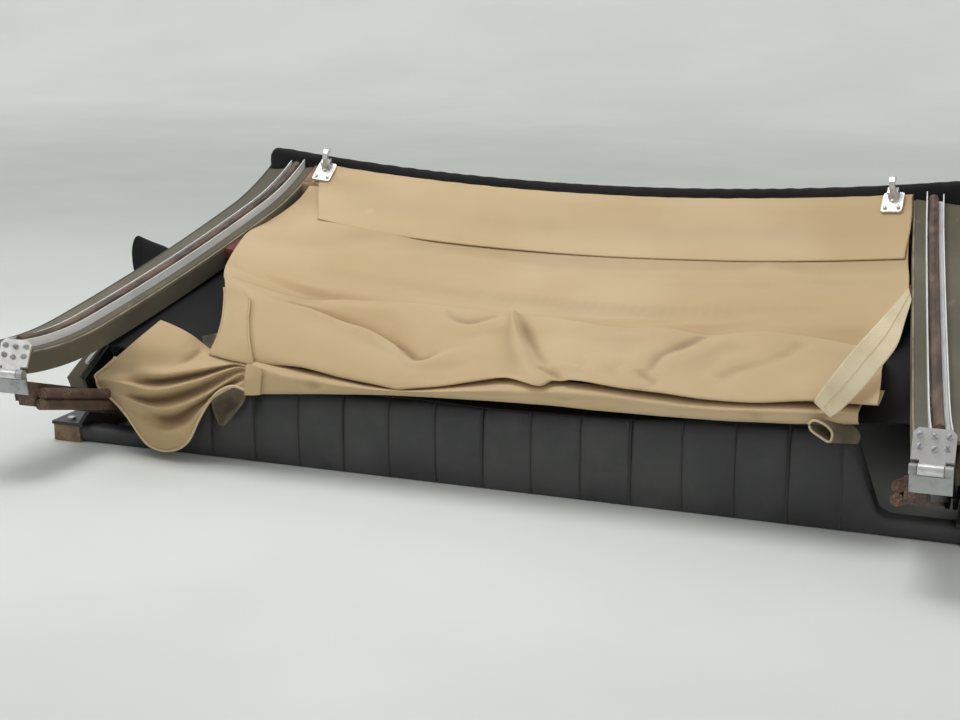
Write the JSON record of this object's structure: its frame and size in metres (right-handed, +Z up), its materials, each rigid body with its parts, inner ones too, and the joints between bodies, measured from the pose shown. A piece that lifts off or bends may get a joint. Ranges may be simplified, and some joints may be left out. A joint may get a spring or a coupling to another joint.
{
  "type": "folding soft top of a vintage convertible car",
  "caption": "Lowered folding hood frame: mitred front rails and header lie upside down over a curved rear bow, with slack tan lining and black cover cloth.",
  "frame": {"origin": "midway between the two pivot brackets, on the underside that meets the body", "axes": "+X towards the car's left side, +Y towards its rear, +Z up"},
  "size_m": [1.4, 0.843, 0.4044],
  "materials": {
    "black_cover": "dull black hood cloth",
    "rail_cloth": "woven, worn",
    "strap_cloth": "webbing",
    "ash_timber": "oiled",
    "plated_steel": "worn plate",
    "zinc_steel": "dull zinc",
    "black_iron": "satin",
    "tan_lining": "soft woven lining",
    "brown_leather": "ribbed, worn",
    "aluminium": "satin",
    "brown_rubber": "dull",
    "red_rubber": "dull",
    "charcoal_leather": "smooth, sewn in upright pleats"
  },
  "bodies": {
    "hood_base": {"cover_quarter_left": "black_cover", "cover_quarter_right": "black_cover", "cover_tail": "black_cover", "pivot_bracket_left": "black_iron", "pivot_bracket_right": "black_iron", "seat_back_rail": "charcoal_leather", "tack_rail": "ash_timber"},
    "rear_bow_frame": {"cover_middle": "black_cover", "leg_iron_left": "black_iron", "leg_iron_right": "black_iron", "rear_bow": "ash_timber", "rear_leg_left": "rail_cloth", "rear_leg_right": "rail_cloth", "rear_strip_left": "aluminium", "rear_strip_right": "aluminium", "rest_buffer_left": "red_rubber", "rest_buffer_right": "red_rubber"},
    "post_left_frame": {"knuckle_strap_left": "zinc_steel", "post_iron_left": "black_iron", "post_left": "brown_leather", "post_welt_left": "brown_leather"},
    "post_right_frame": {"knuckle_strap_right": "zinc_steel", "lining_corner": "tan_lining", "post_iron_right": "black_iron", "post_right": "brown_leather", "post_welt_right": "brown_leather"},
    "front_frame": {"cover_front": "black_cover", "edge_flap_left": "rail_cloth", "edge_flap_right": "rail_cloth", "front_rail_left": "rail_cloth", "front_rail_right": "rail_cloth", "hanging_strap": "strap_cloth", "header_bow": "ash_timber", "header_trim": "black_cover", "knuckle_plate_left": "plated_steel", "knuckle_plate_right": "plated_steel", "latch_left": "plated_steel", "latch_right": "plated_steel", "lining_lower": "tan_lining", "lining_panel": "tan_lining", "lining_roll": "tan_lining", "lining_slack": "tan_lining", "rail_channel_left": "aluminium", "rail_channel_right": "aluminium", "rail_seal_left": "brown_rubber", "rail_seal_right": "brown_rubber", "roof_bow": "ash_timber"}
  },
  "joints": [
    {"name": "rear_bow_fold", "type": "hinge", "parent": "hood_base", "child": "rear_bow_frame", "pos_m": [0, 0, 0.05], "axis": [1, 0, 0], "range_deg": [0, 30], "deforming": ["cover_tail"]},
    {"name": "post_left_fold", "type": "hinge", "parent": "rear_bow_frame", "child": "post_left_frame", "pos_m": [0.6, 0, 0.05], "axis": [-1, 0, 0], "range_deg": [0, 80]},
    {"name": "post_right_fold", "type": "hinge", "parent": "rear_bow_frame", "child": "post_right_frame", "pos_m": [-0.6, 0, 0.05], "axis": [-1, 0, 0], "range_deg": [0, 80], "deforming": ["lining_corner"]},
    {"name": "front_frame_fold", "type": "hinge", "parent": "post_left_frame", "child": "front_frame", "pos_m": [0.6305, -0.261, 0.156], "axis": [1, 0, 0], "range_deg": [0, 215]}
  ],
  "couplings": [
    {"joint": "rear_bow_fold", "follows": "front_frame_fold", "ratio": 0.1395},
    {"joint": "post_left_fold", "follows": "front_frame_fold", "ratio": 0.372},
    {"joint": "post_right_fold", "follows": "front_frame_fold", "ratio": 0.372}
  ]
}
